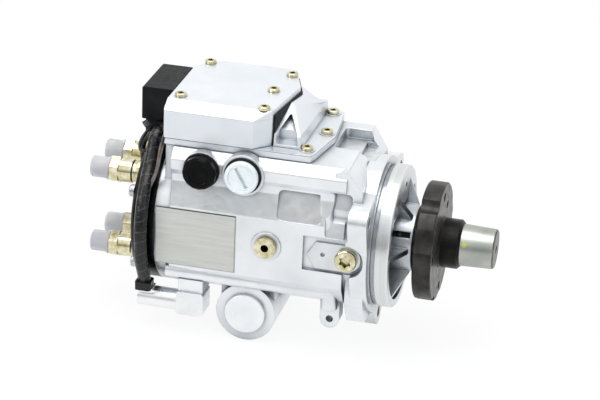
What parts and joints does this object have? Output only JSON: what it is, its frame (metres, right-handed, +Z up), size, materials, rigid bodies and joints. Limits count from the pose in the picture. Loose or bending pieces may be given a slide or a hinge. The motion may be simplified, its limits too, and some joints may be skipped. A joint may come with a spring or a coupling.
{
  "type": "diesel injection pump",
  "caption": "Distributor-type diesel injection pump with drive hub, control unit on top, pressure outlets at the rear and a timing device below.",
  "frame": {"origin": "drive-shaft axis inside the mounting pilot, 6 mm in front of the mounting face", "axes": "+X along the drive shaft towards the drive end, +Z up through the control unit, -Y the side with the fuel ports"},
  "size_m": [0.2916, 0.126, 0.1743],
  "materials": {
    "cast_aluminium": "satin cast",
    "machined_aluminium": "machined",
    "phosphated_steel": "dark phosphate",
    "black_steel": "black phosphate",
    "ground_steel": "ground",
    "bearing_steel": "polished",
    "spring_steel": "drawn",
    "yellow_zinc": "yellow chromated zinc",
    "bronze": "machined",
    "black_plastic": "moulded",
    "harness_tape": "wound tape",
    "clear_plastic": "translucent",
    "white_plastic": "translucent white",
    "black_rubber": "moulded",
    "circuit_board": "laminate",
    "plate_foil": "satin foil"
  },
  "bodies": {
    "housing": {"connector": "black_plastic", "control_base_plate": "cast_aluminium", "control_unit_board": "circuit_board", "control_unit_body": "machined_aluminium", "control_unit_cover": "machined_aluminium", "control_unit_gasket": "black_rubber", "control_unit_screws": "yellow_zinc", "delivery_valve_holder_1": "yellow_zinc", "delivery_valve_holder_2": "yellow_zinc", "delivery_valve_holder_3": "yellow_zinc", "delivery_valve_holder_4": "yellow_zinc", "distributor_head": "black_steel", "distributor_sleeve": "ground_steel", "front_bearing_bush": "bronze", "head_screws": "ground_steel", "inlet_plug": "white_plastic", "lock_plate": "ground_steel", "lock_screw": "yellow_zinc", "outlet_caps": "clear_plastic", "pressure_solenoid": "ground_steel", "pump_front_plate": "ground_steel", "pump_housing": "cast_aluminium", "pump_liner_ring": "ground_steel", "pump_plate_screws": "ground_steel", "pump_rear_plate": "ground_steel", "rating_plate": "plate_foil", "regulator_cap": "black_plastic", "return_screw": "yellow_zinc", "shaft_seals": "black_rubber", "solenoid_lead": "harness_tape", "timer_plug_far": "machined_aluminium", "timer_plug_near": "machined_aluminium", "timing_harness": "harness_tape", "timing_solenoid": "machined_aluminium", "timing_spring": "spring_steel", "valve_springs": "spring_steel"},
    "rotor": {"drive_shaft": "ground_steel", "drive_hub": "phosphated_steel", "hub_key": "ground_steel", "rotor_key": "ground_steel", "vane_rotor": "ground_steel", "pump_vanes": "bearing_steel", "increment_wheel": "ground_steel", "distributor_rotor": "bearing_steel"},
    "cam_ring_group": {"cam_ring": "bearing_steel", "timing_ball_pin": "bearing_steel", "sensor_ring": "ground_steel", "angle_sensor": "black_plastic"},
    "timing_piston": {"timing_piston": "ground_steel"},
    "tappet_a": {"plunger_a": "bearing_steel", "roller_shoe_a": "ground_steel"},
    "tappet_b": {"plunger_b": "bearing_steel", "roller_shoe_b": "ground_steel"},
    "roller_a": {"roller_a": "bearing_steel"},
    "roller_b": {"roller_b": "bearing_steel"},
    "valve_needle": {"valve_needle": "bearing_steel"},
    "delivery_valve_1": {"delivery_valve_1": "bearing_steel"},
    "delivery_valve_2": {"delivery_valve_2": "bearing_steel"},
    "delivery_valve_3": {"delivery_valve_3": "bearing_steel"},
    "delivery_valve_4": {"delivery_valve_4": "bearing_steel"}
  },
  "joints": [
    {"name": "shaft_spin", "type": "hinge", "parent": "housing", "child": "rotor", "pos_m": [0, 0, 0], "axis": [1, 0, 0], "continuous": true},
    {"name": "cam_ring_swivel", "type": "hinge", "parent": "housing", "child": "cam_ring_group", "pos_m": [-0.0934, 0, 0], "axis": [1, 0, 0], "range_deg": [0, 12]},
    {"name": "timing_piston_slide", "type": "slide", "parent": "housing", "child": "timing_piston", "axis": [0, 1, 0], "range_m": [0, 0.0117], "deforming": ["timing_spring"]},
    {"name": "plunger_a_slide", "type": "slide", "parent": "rotor", "child": "tappet_a", "axis": [0, 1, 0], "range_m": [0, 0.0028]},
    {"name": "plunger_b_slide", "type": "slide", "parent": "rotor", "child": "tappet_b", "axis": [0, -1, 0], "range_m": [0, 0.0028]},
    {"name": "roller_a_spin", "type": "hinge", "parent": "tappet_a", "child": "roller_a", "pos_m": [-0.0934, 0.0227, 0], "axis": [1, 0, 0], "continuous": true},
    {"name": "roller_b_spin", "type": "hinge", "parent": "tappet_b", "child": "roller_b", "pos_m": [-0.0934, -0.0227, 0], "axis": [1, 0, 0], "continuous": true},
    {"name": "valve_needle_slide", "type": "slide", "parent": "rotor", "child": "valve_needle", "axis": [-1, 0, 0], "range_m": [0, 0.0004]},
    {"name": "delivery_valve_1_lift", "type": "slide", "parent": "housing", "child": "delivery_valve_1", "axis": [-1, 0, 0], "range_m": [0, 0.0012], "stiffness_N_per_m": 2000, "springref_m": -0.001, "deforming": ["valve_springs"]},
    {"name": "delivery_valve_2_lift", "type": "slide", "parent": "housing", "child": "delivery_valve_2", "axis": [-1, 0, 0], "range_m": [0, 0.0012], "stiffness_N_per_m": 2000, "springref_m": -0.001},
    {"name": "delivery_valve_3_lift", "type": "slide", "parent": "housing", "child": "delivery_valve_3", "axis": [-1, 0, 0], "range_m": [0, 0.0012], "stiffness_N_per_m": 2000, "springref_m": -0.001},
    {"name": "delivery_valve_4_lift", "type": "slide", "parent": "housing", "child": "delivery_valve_4", "axis": [-1, 0, 0], "range_m": [0, 0.0012], "stiffness_N_per_m": 2000, "springref_m": -0.001}
  ],
  "couplings": [
    {"joint": "timing_piston_slide", "follows": "cam_ring_swivel", "m_per_rad": 0.0554},
    {"joint": "plunger_b_slide", "follows": "plunger_a_slide", "ratio": 1}
  ]
}
